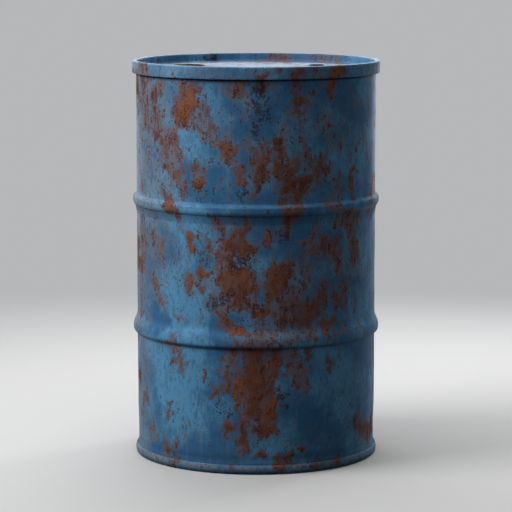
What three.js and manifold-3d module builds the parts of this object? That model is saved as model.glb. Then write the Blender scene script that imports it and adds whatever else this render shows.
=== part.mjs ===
import * as THREE from 'three';
import { mergeVertices } from 'three/addons/utils/BufferGeometryUtils.js';
import Module from 'manifold-3d';

// A tight-head steel drum standing on its bottom chime: a rolled shell with two swaged hoops,
// and two pressed heads folded together with the shell's ends. Millimetres, +Z up, axis on Z.

// The drum
const HEIGHT = 915;
const SHELL_R = 276.5; // outer face of the shell between the hoops
const SHEET = 1.2;
const ROUND = 40; // flats round the drum

// Hoops swaged out of the shell: height of the crest, how far it stands out, half the width of
// its flat crest, how far the hoop runs above and below that height, and how far its flanks are
// eased (0 straight, 1 round)
const HOOPS = [
  { z: 298.5, proud: 9.1, crest: 4, above: 36, below: 16, ease: 0.8 },
  { z: 597, proud: 8.8, crest: 5, above: 14, below: 20, ease: 1 },
];
const FLANK_STEPS = 4;

// Top chime: seven layers of sheet, from the head's chuck wall inside to its skirt outside
const TOP_GAP = 0.67; // between layers, spread by rust
const TOP_BAND = 28.2; // height of the skirt
const TOP_RECESS = 18.5; // rim to the top of the head's panel
const TOP_FILLET = 2.6; // corners of the rim
const TOP_SKIRT_FILLET = 1.3; // lower corners of the skirt
const TOP_SHELL_FILLET = 1.2; // corners of the shell's end inside the rim
const TOP_COMPOUND = 2.1; // height of the sealing ring

// Bottom chime: five layers of sheet
const BOTTOM_GAP = 0.52;
const BOTTOM_BAND = 28;
const BOTTOM_LEAN = 11; // height from which the outer layer leans in to the shell
const BOTTOM_FOLD = 0.95; // radius of the fold along the top of the foot
const BOTTOM_RECESS = 18; // floor to the underside of the head's panel
const BOTTOM_FILLET = 2.6;
const BOTTOM_COMPOUND = 2.9;

// Inside both chimes
const TIP_CLEAR = 2.8; // from the end of a folded sheet to the fold that holds it
const COMPOUND_CLEAR = 0.35; // round each sealing ring

// Heads
const HEAD_CORNER = 5; // bend between panel and chuck wall

// Bung flanges: centre, outside of the neck, width across the flats of the base and flats round
// the neck; then the radius of the thread's crest, its depth, pitch and number of turns
const BUNGS = {
  large: {
    x: -155.5,
    y: 78,
    neck: 33,
    across: 84,
    round: 28,
    thread: { crest: 28.6, depth: 1.4, pitch: 2.21, turns: 6 },
  },
  small: {
    x: 142,
    y: 86,
    neck: 15.6,
    across: 42,
    round: 20,
    thread: { crest: 12.1, depth: 1.1, pitch: 1.81, turns: 7 },
  },
};
const NECK_CLEAR = 0.3; // between neck, gasket and panel
const LIP = 1.5; // thickness of the lip curled over the panel
const LIP_REACH = 2.6; // how far the lip reaches past the neck
const MOUTH_CHAMFER = 1.6;
const GASKET = 2;
const GASKET_REACH = 6; // radial width of the gasket
const BASE = 4; // thickness of the flange's eight-sided base
const BASE_SIDES = 8;
const BARREL = 8; // run of the threaded neck below the base

const wasm = await Module();
wasm.setup();

// A solid of revolution about Z from a closed outline of [r, z] points.
function revolve(outline, round) {
  const area = outline.reduce((sum, [r, z], i) => {
    const [rn, zn] = outline[(i + 1) % outline.length];
    return sum + r * zn - rn * z;
  }, 0);
  const ring = area > 0 ? outline : [...outline].reverse();
  const points = [];
  const rows = ring.map(([r, z]) => {
    const count = r < 1e-6 ? 1 : round;
    const first = points.length;
    for (let j = 0; j < count; j += 1) {
      const turn = (2 * Math.PI * j) / round;
      points.push(new THREE.Vector3(r * Math.cos(turn), r * Math.sin(turn), z));
    }
    return (j) => first + (j % count);
  });
  const faces = [];
  rows.forEach((low, i) => {
    const high = rows[(i + 1) % rows.length];
    for (let j = 0; j < round; j += 1) {
      faces.push([low(j), low(j + 1), high(j + 1)], [low(j), high(j + 1), high(j)]);
    }
  });
  const whole = faces.filter(([a, b, c]) => a !== b && b !== c && c !== a);
  const geometry = new THREE.BufferGeometry().setFromPoints(points);
  geometry.setIndex(whole.flat());
  return geometry;
}

// The outline of a sheet of even thickness along a path of [r, z] points.
function sheet(path, thickness) {
  const along = path.slice(1).map(([r, z], i) => {
    const step = new THREE.Vector2(r - path[i][0], z - path[i][1]).normalize();
    return new THREE.Vector2(-step.y, step.x);
  });
  const side = (sign) =>
    path.map(([r, z], i) => {
      const before = along[Math.max(i - 1, 0)];
      const after = along[Math.min(i, along.length - 1)];
      const offset = ((sign * thickness) / 2) / (1 + before.dot(after));
      return [r + (before.x + after.x) * offset, z + (before.y + after.y) * offset];
    });
  return [...side(1), ...side(-1).reverse()];
}

// Points of an arc, its angles in quarter turns from +r towards +z.
function arc(r, z, radius, from, to, steps) {
  return Array.from({ length: steps + 1 }, (_, i) => {
    const turn = (Math.PI / 2) * (from + ((to - from) * i) / steps);
    return [r + radius * Math.cos(turn), z + radius * Math.sin(turn)];
  });
}

// One hoop as points of the shell's middle line, from its lower root to its upper root.
function hoop({ z, proud, crest, above, below, ease }) {
  const flank = (reach) =>
    Array.from({ length: FLANK_STEPS + 1 }, (_, i) => {
      const t = i / FLANK_STEPS;
      const rise = t - (ease * Math.sin(2 * Math.PI * t)) / (2 * Math.PI);
      return [WALL_R + proud * rise, crest + (reach - crest) * (1 - t)];
    });
  const lower = flank(below).map(([r, away]) => [r, z - away]);
  const upper = flank(above).map(([r, away]) => [r, z + away]).reverse();
  return [...lower, ...upper];
}

// Middle lines of the layers in a chime, counted from the chuck wall (1) outwards.
const WALL_R = SHELL_R - SHEET / 2;
const TOP_PITCH = SHEET + TOP_GAP;
const BOTTOM_PITCH = SHEET + BOTTOM_GAP;
const top = (layer) => WALL_R + (layer - 2) * TOP_PITCH;
const bottom = (layer) => WALL_R + (layer - 2) * BOTTOM_PITCH;

// The rim: the head goes over the shell's end, down outside, under, up and over once more.
const RIM_Z = HEIGHT - SHEET / 2;
const SKIRT_Z = HEIGHT - TOP_BAND + SHEET / 2;
const SHELL_TOP_Z = RIM_Z - TOP_PITCH;
const COMPOUND_TOP_Z = SHELL_TOP_Z - SHEET / 2 - COMPOUND_CLEAR;
const INNER_FOLD_Z = COMPOUND_TOP_Z - TOP_COMPOUND - COMPOUND_CLEAR - SHEET / 2 - TOP_PITCH;
const SHELL_FOLD_Z = SKIRT_Z + 2 * TOP_PITCH;
const TOP_SHELL_TIP_Z = INNER_FOLD_Z + TOP_PITCH - SHEET / 2 - TIP_CLEAR;
const TOP_HEAD_TIP_Z = SHELL_FOLD_Z - TOP_PITCH + SHEET / 2 + TIP_CLEAR;

// The foot: the head goes under the shell's end, up outside, over and down.
const FOOT_Z = SHEET / 2;
const SHELL_FOOT_Z = FOOT_Z + 2 * BOTTOM_PITCH;
const SHOULDER_Z = BOTTOM_BAND - SHEET / 2 - BOTTOM_FOLD;
const BOTTOM_SEAL_HIGH = SHELL_FOOT_Z + BOTTOM_COMPOUND;
const BOTTOM_HEAD_TIP_Z = BOTTOM_SEAL_HIGH + COMPOUND_CLEAR;

const PANEL_TOP = HEIGHT - TOP_RECESS;
const PANEL_Z = PANEL_TOP - SHEET / 2;
const FLOOR_Z = BOTTOM_RECESS + SHEET / 2;

const shellPath = [
  [bottom(4), BOTTOM_LEAN],
  ...arc(bottom(3), SHELL_FOOT_Z, BOTTOM_PITCH, 0, -2, 4),
  ...HOOPS.flatMap(hoop),
  ...arc(top(2) + TOP_SHELL_FILLET, SHELL_TOP_Z - TOP_SHELL_FILLET, TOP_SHELL_FILLET, 2, 1, 2),
  ...arc(top(6) - TOP_SHELL_FILLET, SHELL_TOP_Z - TOP_SHELL_FILLET, TOP_SHELL_FILLET, 1, 0, 2),
  ...arc(top(5), SHELL_FOLD_Z, TOP_PITCH, 0, -2, 4),
  [top(4), TOP_SHELL_TIP_Z],
];

const topHeadPath = [
  [0, PANEL_Z],
  ...arc(top(1) - HEAD_CORNER, PANEL_Z + HEAD_CORNER, HEAD_CORNER, -1, 0, 3),
  ...arc(top(1) + TOP_FILLET, RIM_Z - TOP_FILLET, TOP_FILLET, 2, 1, 3),
  ...arc(top(7) - TOP_FILLET, RIM_Z - TOP_FILLET, TOP_FILLET, 1, 0, 3),
  ...arc(top(7) - TOP_SKIRT_FILLET, SKIRT_Z + TOP_SKIRT_FILLET, TOP_SKIRT_FILLET, 0, -1, 2),
  ...arc(top(3) + TOP_SKIRT_FILLET, SKIRT_Z + TOP_SKIRT_FILLET, TOP_SKIRT_FILLET, -1, -2, 2),
  ...arc(top(4), INNER_FOLD_Z, TOP_PITCH, 2, 0, 4),
  [top(5), TOP_HEAD_TIP_Z],
];

const bottomHeadPath = [
  [0, FLOOR_Z],
  ...arc(bottom(1) - HEAD_CORNER, FLOOR_Z - HEAD_CORNER, HEAD_CORNER, 1, 0, 3),
  ...arc(bottom(1) + BOTTOM_FILLET, FOOT_Z + BOTTOM_FILLET, BOTTOM_FILLET, -2, -1, 3),
  ...arc(bottom(5) - BOTTOM_FILLET, FOOT_Z + BOTTOM_FILLET, BOTTOM_FILLET, -1, 0, 3),
  [bottom(5), BOTTOM_LEAN],
  ...arc(bottom(3) + BOTTOM_FOLD, SHOULDER_Z, BOTTOM_FOLD, 0, 2, 4),
  [bottom(3), BOTTOM_HEAD_TIP_Z],
];

// A ring of rectangular section.
const ringOutline = (inner, outer, low, high) => [
  [inner, low],
  [outer, low],
  [outer, high],
  [inner, high],
];

function toSolid(geometry) {
  const merged = mergeVertices(geometry, 1e-4);
  const mesh = { numProp: 3, vertProperties: merged.attributes.position.array };
  mesh.triVerts = new Uint32Array(merged.index.array);
  return new wasm.Manifold(new wasm.Mesh(mesh));
}

function toGeometry(solid) {
  const { vertProperties, triVerts } = solid.getMesh();
  const geometry = new THREE.BufferGeometry();
  geometry.setAttribute('position', new THREE.BufferAttribute(vertProperties, 3));
  geometry.setIndex(new THREE.BufferAttribute(triVerts, 1));
  return geometry;
}

// Heights of a bung's pieces, from the lip above the panel to the base under the gasket.
const LIP_LOW = PANEL_TOP + NECK_CLEAR;
const LIP_HIGH = LIP_LOW + LIP;
const GASKET_HIGH = PANEL_TOP - SHEET - NECK_CLEAR;
const GASKET_LOW = GASKET_HIGH - GASKET;
const BASE_HIGH = GASKET_LOW - NECK_CLEAR;
const BASE_LOW = BASE_HIGH - BASE;
const NECK_LOW = BASE_LOW - BARREL;

function panelHole({ x, y, neck, round }) {
  const cut = revolve(ringOutline(0, neck + NECK_CLEAR, PANEL_TOP - SHEET * 2, PANEL_TOP + SHEET), round);
  return toSolid(cut.translate(x, y, 0));
}

function flange({ x, y, neck, across, round, thread }) {
  const { crest, depth, pitch, turns } = thread;
  const corner = across / 2 / Math.cos(Math.PI / BASE_SIDES);
  const base = revolve(ringOutline(0, corner, BASE_LOW, BASE_HIGH), BASE_SIDES);
  const body = revolve(
    [
      [0, NECK_LOW],
      [neck, NECK_LOW],
      [neck, LIP_LOW],
      [neck + LIP_REACH, LIP_LOW],
      [neck + LIP_REACH, LIP_HIGH - LIP / 2],
      [neck + LIP_REACH - LIP / 2, LIP_HIGH],
      [0, LIP_HIGH],
    ],
    round,
  );
  const mouth = crest + depth + MOUTH_CHAMFER;
  const middle = (LIP_HIGH + NECK_LOW) / 2;
  const ridges = Array.from({ length: 2 * turns + 1 }, (_, i) => [
    crest + (i % 2 ? 0 : depth),
    middle + ((i - turns) * pitch) / 2,
  ]);
  const bore = revolve(
    [
      [0, NECK_LOW - BASE],
      [mouth, NECK_LOW - BASE],
      [mouth, NECK_LOW],
      ...ridges,
      [mouth, LIP_HIGH],
      [mouth, LIP_HIGH + BASE],
      [0, LIP_HIGH + BASE],
    ],
    round,
  );
  const made = toSolid(base).add(toSolid(body)).subtract(toSolid(bore));
  return toGeometry(made).translate(x, y, 0);
}

function gasket({ x, y, neck, round }) {
  const inner = neck + NECK_CLEAR;
  return revolve(ringOutline(inner, inner + GASKET_REACH, GASKET_LOW, GASKET_HIGH), round).translate(x, y, 0);
}

const paint = new THREE.MeshStandardMaterial({ color: 0x4f7896, metalness: 0.1, roughness: 0.6 });
const rust = new THREE.MeshStandardMaterial({ color: 0x7a4a30, metalness: 0.2, roughness: 0.9 });
const rubber = new THREE.MeshStandardMaterial({ color: 0x1d1c1b, metalness: 0, roughness: 0.8 });
const compound = new THREE.MeshStandardMaterial({ color: 0x3a342e, metalness: 0, roughness: 0.9 });

const drum = new THREE.Group();

function place(name, geometry, material) {
  geometry.computeVertexNormals();
  const mesh = new THREE.Mesh(geometry, material);
  mesh.name = name;
  drum.add(mesh);
}

place('body_shell', revolve(sheet(shellPath, SHEET), ROUND), paint);

const panel = toSolid(revolve(sheet(topHeadPath, SHEET), ROUND));
const holed = Object.values(BUNGS).reduce((made, bung) => made.subtract(panelHole(bung)), panel);
place('top_head', toGeometry(holed), paint);
place('bottom_head', revolve(sheet(bottomHeadPath, SHEET), ROUND), paint);

const topSeal = ringOutline(
  top(2) + SHEET / 2 + COMPOUND_CLEAR,
  top(6) - SHEET / 2 - COMPOUND_CLEAR,
  COMPOUND_TOP_Z - TOP_COMPOUND,
  COMPOUND_TOP_Z,
);
place('top_seam_compound', revolve(topSeal, ROUND), compound);

const bottomSeal = ringOutline(
  bottom(2) + SHEET / 2 + COMPOUND_CLEAR,
  bottom(4) - SHEET / 2 - COMPOUND_CLEAR,
  SHELL_FOOT_Z,
  BOTTOM_SEAL_HIGH,
);
place('bottom_seam_compound', revolve(bottomSeal, ROUND), compound);

for (const [size, bung] of Object.entries(BUNGS)) {
  place(size + '_bung_flange', flange(bung), rust);
  place(size + '_flange_gasket', gasket(bung), rubber);
}

export default drum;
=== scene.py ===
# %% [markdown]
# # A rusted steel oil drum
# A closed-top steel drum, painted blue, with two rolling hoops and rust breaking through all over.
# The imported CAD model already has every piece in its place, in metres, with the drum's axis on Z
# and its foot on the floor. This lesson puts finer sheets around that frame and weathers them.

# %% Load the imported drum
import math

import bmesh
import bpy
import numpy as np
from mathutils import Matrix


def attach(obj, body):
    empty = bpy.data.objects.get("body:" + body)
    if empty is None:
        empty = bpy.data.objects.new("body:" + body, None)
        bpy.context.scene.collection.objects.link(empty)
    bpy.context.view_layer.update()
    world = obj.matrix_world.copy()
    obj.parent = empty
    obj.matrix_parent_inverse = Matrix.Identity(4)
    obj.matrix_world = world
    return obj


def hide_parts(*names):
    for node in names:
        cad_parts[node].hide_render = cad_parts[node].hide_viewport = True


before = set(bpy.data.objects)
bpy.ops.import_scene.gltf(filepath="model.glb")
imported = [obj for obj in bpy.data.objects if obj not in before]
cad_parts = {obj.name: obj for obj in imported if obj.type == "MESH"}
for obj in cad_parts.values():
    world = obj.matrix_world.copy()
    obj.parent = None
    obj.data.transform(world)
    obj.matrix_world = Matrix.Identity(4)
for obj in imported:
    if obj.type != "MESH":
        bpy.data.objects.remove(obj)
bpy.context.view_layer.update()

print("pieces in the frame:", ", ".join(sorted(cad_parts)))

# %% [markdown]
# ## The camera
# The picture was taken from a little above the drum's rim, about ten drum widths away, with
# a long lens. The curves of the rim and the foot give the height and the dip: the more a ring
# opens, the further the camera stands above it.

# %% Stand the camera
PICTURE = 512
LENS_PIXELS = 2451.6
CAMERA_AT = (0.0, -5.664, 1.2468)
CAMERA_DIP = math.radians(7.933)

camera = bpy.data.objects.new("camera", bpy.data.cameras.new("camera"))
camera.location = CAMERA_AT
camera.rotation_euler = (math.pi / 2 - CAMERA_DIP, 0, 0)
camera.data.sensor_width = 36
camera.data.lens = 36 * LENS_PIXELS / PICTURE
bpy.context.scene.collection.objects.link(camera)
bpy.context.scene.camera = camera
print(f"lens {camera.data.lens:.1f} mm, {math.degrees(CAMERA_DIP):.1f} degrees down")

# %% [markdown]
# ## How sheet metal is drawn here
# Every large piece of the drum is a sheet spun round the axis, so it is drawn as a path in
# radius and height, thickened to the sheet's 1.2 mm, and turned through a full circle. A lathe
# like this could also come from Blender's Screw modifier, but rows and columns made by hand let
# the front carry more columns than the back, and let dents move each point on its own.

# %% Paths and sheets
MM = 0.001
SHEET = 1.2


def arc(radius_at, height_at, radius, start, stop, steps):
    """Points of an arc in millimetres, its angles in quarter turns from outwards towards up."""
    turn = np.linspace(start, stop, steps + 1) * math.pi / 2
    return np.column_stack([radius_at + radius * np.cos(turn), height_at + radius * np.sin(turn)])


def run(first, last, step):
    """Points of a straight stretch between two ends, both left out."""
    count = max(2, math.ceil(np.linalg.norm(np.subtract(last, first)) / step) + 1)
    return np.linspace(first, last, count)[1:-1]


def side(path, offset):
    """The path moved sideways, to its left where the offset is positive."""
    along = np.diff(path, axis=0)
    along /= np.linalg.norm(along, axis=1)[:, None]
    left = np.column_stack([-along[:, 1], along[:, 0]])
    before = np.vstack([left[:1], left])
    after = np.vstack([left, left[-1:]])
    spread = 1 + np.sum(before * after, axis=1)
    return path + (before + after) * (offset / spread)[:, None]


print(f"sheet of {SHEET} mm")

# %% Columns round the drum, and a lathe that uses them
FRONT_STEP, BACK_STEP = 1.0, 1.5
front = np.arange(-90, 90, FRONT_STEP)
back = np.arange(90, 270, BACK_STEP)
COLUMNS = np.radians(np.concatenate([front, back]))
print(len(COLUMNS), "columns, turned from the front")


def spin(outline, columns=COLUMNS):
    """Points in rows and columns, in metres; a turn of 0 faces the camera, right is positive."""
    radius, height = np.asarray(outline).T * MM
    grid = np.empty((len(radius), len(columns), 3))
    grid[:, :, 0] = radius[:, None] * np.sin(columns)
    grid[:, :, 1] = -radius[:, None] * np.cos(columns)
    grid[:, :, 2] = height[:, None]
    return grid


def lay_flat(mesh, grid, columns, row, turn):
    """Unrolls the grid into one square map, so that each face has its own place on it."""
    middle = grid.mean(axis=1)
    reach = np.hypot(grid[:, 0, 0], grid[:, 0, 1])
    steps = np.hypot(np.diff(reach, append=reach[:1]), np.diff(middle[:, 2], append=middle[:1, 2]))
    up = np.concatenate([[0], np.cumsum(steps)]) / steps.sum()
    round_ = np.append(columns, columns[0] + 2 * math.pi) - columns[0]
    round_ /= 2 * math.pi
    corner_u = np.stack([round_[turn], round_[turn + 1], round_[turn + 1], round_[turn]], axis=-1)
    corner_v = np.stack([up[row], up[row], up[row + 1], up[row + 1]], axis=-1)
    layer = mesh.uv_layers.new(name="OFBake")
    layer.data.foreach_set("uv", np.stack([corner_u, corner_v], axis=-1).astype(np.float32).ravel())


def closed_sheet(name, grid, columns=COLUMNS):
    """A mesh from a grid whose rows and columns both close on themselves."""
    rows, turns = grid.shape[:2]
    row, turn = np.meshgrid(np.arange(rows), np.arange(turns), indexing="ij")
    next_row, next_turn = (row + 1) % rows, (turn + 1) % turns
    corners = [(row, turn), (row, next_turn), (next_row, next_turn), (next_row, turn)]
    faces = np.stack([up * turns + along for up, along in corners], axis=-1).reshape(-1, 4)
    mesh = bpy.data.meshes.new(name)
    mesh.from_pydata(grid.reshape(-1, 3).tolist(), [], faces.tolist())
    lay_flat(mesh, grid, columns, row, turn)
    return mesh


def on_show(name, mesh, material_slot, *nodes):
    """Puts a piece in the scene in place of its CAD nodes."""
    mesh.polygons.foreach_set("use_smooth", np.ones(len(mesh.polygons), dtype=bool))
    piece = bpy.data.objects.new(name, mesh)
    bpy.context.scene.collection.objects.link(piece)
    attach(piece, "root")
    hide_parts(*nodes)
    triangles = sum(len(face.vertices) - 2 for face in mesh.polygons)
    print(f"{name}: {triangles} triangles for {', '.join(nodes)}")
    return piece


# %% [markdown]
# ## The shell
# The tube between the two ends is one sheet, rolled and welded, with two hoops pressed out of
# it from inside. The lower hoop swells gently from above and tucks in along a short round curve
# below, and the upper one is a narrower bead. A bevelled cylinder would give the same hoop twice,
# so each hoop has its own crest, reaches and easing. Above the foot the wall is drawn in a
# little, as a drum's is where it was crimped, and years of knocks have left the sheet uneven.

# %% The shell's wall and its hoops
SHELL_R = 276.5
WALL_R = SHELL_R - SHEET / 2
HEIGHT = 915.0
# Height of a hoop's crest, how far it stands out, half its flat, its reaches, and its easing above.
HOOPS = [
    {"z": 295.0, "proud": 9.1, "crest": 5.0, "above": 39.5, "below": 11.5, "ease": 0.8},
    {"z": 594.5, "proud": 8.8, "crest": 6.0, "above": 16.5, "below": 15.0, "ease": 1.0},
]
TUCK = 2.2  # how round the turn below a crest is, where 1 would be a straight slope


def wall(height):
    """Radius of the shell's middle line at a height, with the hoops standing out of it."""
    radius = np.full(np.shape(height), WALL_R)
    for hoop in HOOPS:
        away = height - hoop["z"]
        t = np.clip((hoop["above"] - away) / (hoop["above"] - hoop["crest"]), 0, 1)
        swelling = t - hoop["ease"] * np.sin(2 * math.pi * t) / (2 * math.pi)
        tucking = 1 - np.clip(-away / hoop["below"], 0, 1) ** TUCK
        radius += hoop["proud"] * np.where(away > 0, swelling, tucking)
    return radius


def wall_heights(bay_step, hoop_step, low, high):
    """Heights of the shell's rows, close together on the hoops."""
    heights, here = [], low
    while here < high:
        heights.append(here)
        near = any(-hoop["below"] - 3 < here - hoop["z"] < hoop["above"] + 2 for hoop in HOOPS)
        here += hoop_step if near else bay_step
    return np.append(heights, high)


print("hoops at", [hoop["z"] for hoop in HOOPS], "mm")

# %% Bumps and dents
# Turn in degrees, height, reach round and reach up in millimetres, and how far in (negative).
DENTS = [
    (-24, 165, 62, 74, -1.7),
    (-52, 410, 55, 60, -1.1),
    (33, 190, 70, 60, -1.2),
    (8, 470, 60, 80, 0.7),
    (-14, 770, 80, 50, -0.8),
    (46, 720, 50, 70, -1.0),
    (104, 440, 48, 62, -2.2),
    (151, 200, 70, 56, -2.8),
    (187, 745, 60, 66, -1.9),
    (236, 470, 52, 70, -2.4),
    (262, 150, 60, 54, -1.6),
]
DRAWN_IN = 1.9
print(len(DENTS), "bumps and dents")


def eased(value, low, high):
    """0 below low, 1 above high, and a smooth climb between them."""
    t = np.clip((value - low) / (high - low), 0, 1)
    return t * t * (3 - 2 * t)


def arc_from(turn, centre, radius):
    """Distance round the drum from a turn in degrees, the short way, in millimetres."""
    return radius * ((turn - math.radians(centre) + math.pi) % (2 * math.pi) - math.pi)


def unevenness(turn, height):
    """How far each point of the wall has moved out, in millimetres."""
    moved = 0.22 * np.sin(5 * turn + height / 61) * np.sin(height / 47 + 1.3)
    moved += 0.16 * np.sin(11 * turn - height / 83) * np.sin(height / 29)
    for centre, up, reach_round, reach_up, depth in DENTS:
        far = (arc_from(turn, centre, SHELL_R) / reach_round) ** 2 + ((height - up) / reach_up) ** 2
        moved += depth * np.exp(-2 * far)
    moved -= DRAWN_IN * eased(height, 22, 32) * (1 - eased(height, 62, 128))
    return moved * eased(height, 18, 30) * (1 - eased(height, 858, 884))


# %% Fold the shell's ends and spin it
TOP_PITCH = SHEET + 0.67
BOTTOM_PITCH = SHEET + 0.52
TOP_BAND = 28.2
FOOT_HEM, FOOT_TIP_Z = 1.0, 8.0
TIP_CLEAR, COMPOUND_CLEAR, TOP_COMPOUND = 2.8, 0.35, 2.1


def top(layer):
    """Radius of a layer of the top chime, counted from the inside."""
    return WALL_R + (layer - 2) * TOP_PITCH


def bottom(layer):
    """Radius of a layer of the bottom chime, counted from the inside."""
    return WALL_R + (layer - 2) * BOTTOM_PITCH


RIM_Z = HEIGHT - SHEET / 2
SKIRT_Z = HEIGHT - TOP_BAND + SHEET / 2
SHELL_TOP_Z = RIM_Z - TOP_PITCH
SEAL_HIGH = SHELL_TOP_Z - SHEET / 2 - COMPOUND_CLEAR
INNER_FOLD_Z = SEAL_HIGH - TOP_COMPOUND - COMPOUND_CLEAR - SHEET / 2 - TOP_PITCH
SHELL_FOLD_Z = SKIRT_Z + 2 * TOP_PITCH
FOOT_Z = SHEET / 2
SHELL_FOOT_Z = FOOT_Z + 2 * BOTTOM_PITCH
END_FILLET = 1.2
WALL_LOW, WALL_HIGH = 8, 906
OUTSIDE_STEPS, INSIDE_STEPS = (4.6, 2.0), (27, 6)
HOOP_ROOM = 12


def shell_path(heights):
    """The shell's middle line, from the tip folded into the foot to the tip folded into the rim."""
    end_low = SHELL_TOP_Z - END_FILLET
    return np.vstack(
        [
            [[WALL_R + 2 * FOOT_HEM, FOOT_TIP_Z]],
            arc(WALL_R + FOOT_HEM, SHELL_FOOT_Z, FOOT_HEM, 0, -2, 6),
            np.column_stack([wall(heights), heights]),
            arc(top(2) + END_FILLET, end_low, END_FILLET, 2, 1, 3),
            arc(top(6) - END_FILLET, end_low, END_FILLET, 1, 0, 3),
            arc(top(5), SHELL_FOLD_Z, TOP_PITCH, 0, -2, 6),
            [[top(4), INNER_FOLD_Z + TOP_PITCH - SHEET / 2 - TIP_CLEAR]],
        ]
    )


outside = side(shell_path(wall_heights(*OUTSIDE_STEPS, WALL_LOW, WALL_HIGH)), -SHEET / 2)
inside = side(shell_path(wall_heights(*INSIDE_STEPS, WALL_LOW, WALL_HIGH)), SHEET / 2)
shell_grid = spin(np.vstack([outside, inside[::-1]]))

turn_of = np.arctan2(shell_grid[:, :, 0], -shell_grid[:, :, 1])
reach_of = np.hypot(shell_grid[:, :, 0], shell_grid[:, :, 1])
on_wall = reach_of < (WALL_R + HOOP_ROOM) * MM
pushed = 1 + unevenness(turn_of, shell_grid[:, :, 2] / MM) * MM / reach_of * on_wall
shell_grid[:, :, 0] *= pushed
shell_grid[:, :, 1] *= pushed
shell = on_show("drum_shell", closed_sheet("drum_shell", shell_grid), "drum_paint", "body_shell")

# %% [markdown]
# ## The two heads
# Each end is a pressed disc. Its edge is folded together with the shell's end into a chime, the
# thick rim that the drum stands and rolls on. The top chime is a double fold of seven layers and
# stands out like a hoop. Only its outermost layer shows, but the folds are there, so the rim has
# a true edge from below too. The bottom chime is pressed rounder by the drum's weight, so it is
# drawn as one rounded bead that closes over the shell's hem.

# %% The top head's path
TOP_RECESS = 18.5
PANEL_TOP = HEIGHT - TOP_RECESS
PANEL_Z = PANEL_TOP - SHEET / 2
HEAD_CORNER, RIM_FILLET, SKIRT_FILLET = 5.0, 2.6, 1.3
PANEL_STEP, BAND_STEP = 8.5, 3.2

wall_foot = (top(1) - HEAD_CORNER, PANEL_Z)
rim_low = RIM_Z - RIM_FILLET
skirt_low = SKIRT_Z + SKIRT_FILLET
top_path = np.vstack(
    [
        [[0, PANEL_Z]],
        run((0, PANEL_Z), wall_foot, PANEL_STEP),
        arc(top(1) - HEAD_CORNER, PANEL_Z + HEAD_CORNER, HEAD_CORNER, -1, 0, 7),
        run((top(1), PANEL_Z + HEAD_CORNER), (top(1), rim_low), BAND_STEP),
        arc(top(1) + RIM_FILLET, rim_low, RIM_FILLET, 2, 1, 7),
        run((top(1) + RIM_FILLET, RIM_Z), (top(7) - RIM_FILLET, RIM_Z), BAND_STEP),
        arc(top(7) - RIM_FILLET, rim_low, RIM_FILLET, 1, 0, 7),
        run((top(7), rim_low), (top(7), skirt_low), BAND_STEP),
        arc(top(7) - SKIRT_FILLET, skirt_low, SKIRT_FILLET, 0, -1, 4),
        arc(top(3) + SKIRT_FILLET, skirt_low, SKIRT_FILLET, -1, -2, 4),
        arc(top(4), INNER_FOLD_Z, TOP_PITCH, 2, 0, 6),
        [[top(5), SHELL_FOLD_Z - TOP_PITCH + SHEET / 2 + TIP_CLEAR]],
    ]
)
top_grid = spin(np.vstack([side(top_path, -SHEET / 2), side(top_path, SHEET / 2)[::-1]]))
top_mesh = closed_sheet("drum_top", top_grid)
print(len(top_path), "points along the top head")

# %% Cut the bung holes in the top head
# Where a bung is, its neck's radius, its base over the flats, and its thread.
LARGE_BUNG = {
    "at": (-155.5, 78.0), "neck": 33.0, "across": 84.0,
    "crest": 28.6, "depth": 1.4, "pitch": 2.21,
}
SMALL_BUNG = {
    "at": (142.0, 86.0), "neck": 15.6, "across": 42.0,
    "crest": 12.1, "depth": 1.1, "pitch": 1.81,
}
NECK_CLEAR = 0.3
PUNCH_DEPTH = 12


def join_at_axis(mesh):
    """Joins the points that the lathe leaves on top of each other at the axis."""
    made = bmesh.new()
    made.from_mesh(mesh)
    bmesh.ops.remove_doubles(made, verts=made.verts, dist=1e-6)
    loose = [edge for edge in made.edges if not edge.link_faces]
    bmesh.ops.delete(made, geom=loose, context="EDGES")
    bmesh.ops.recalc_face_normals(made, faces=made.faces)
    made.to_mesh(mesh)
    made.free()


def punch(mesh, bung):
    """Cuts a round hole for a bung's neck through the panel."""
    x, y = bung["at"]
    tool = bmesh.new()
    bmesh.ops.create_cone(
        tool,
        cap_ends=True,
        segments=96,
        radius1=(bung["neck"] + NECK_CLEAR) * MM,
        radius2=(bung["neck"] + NECK_CLEAR) * MM,
        depth=PUNCH_DEPTH * MM,
    )
    bmesh.ops.translate(tool, verts=tool.verts, vec=(x * MM, y * MM, PANEL_Z * MM))
    punch_mesh = bpy.data.meshes.new("punch")
    tool.to_mesh(punch_mesh)
    tool.free()
    head = bpy.data.objects.new("punched", mesh)
    cutter = bpy.data.objects.new("punch", punch_mesh)
    for thing in (head, cutter):
        bpy.context.scene.collection.objects.link(thing)
    cut = head.modifiers.new("hole", "BOOLEAN")
    cut.operation, cut.object, cut.solver = "DIFFERENCE", cutter, "EXACT"
    seen = head.evaluated_get(bpy.context.evaluated_depsgraph_get())
    made = bpy.data.meshes.new_from_object(seen)
    bpy.data.objects.remove(head)
    bpy.data.objects.remove(cutter)
    return made


join_at_axis(top_mesh)
for bung in (LARGE_BUNG, SMALL_BUNG):
    top_mesh = punch(top_mesh, bung)
top_mesh.name = "drum_top"
drum_top = on_show("drum_top", top_mesh, "drum_paint", "top_head")

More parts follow.
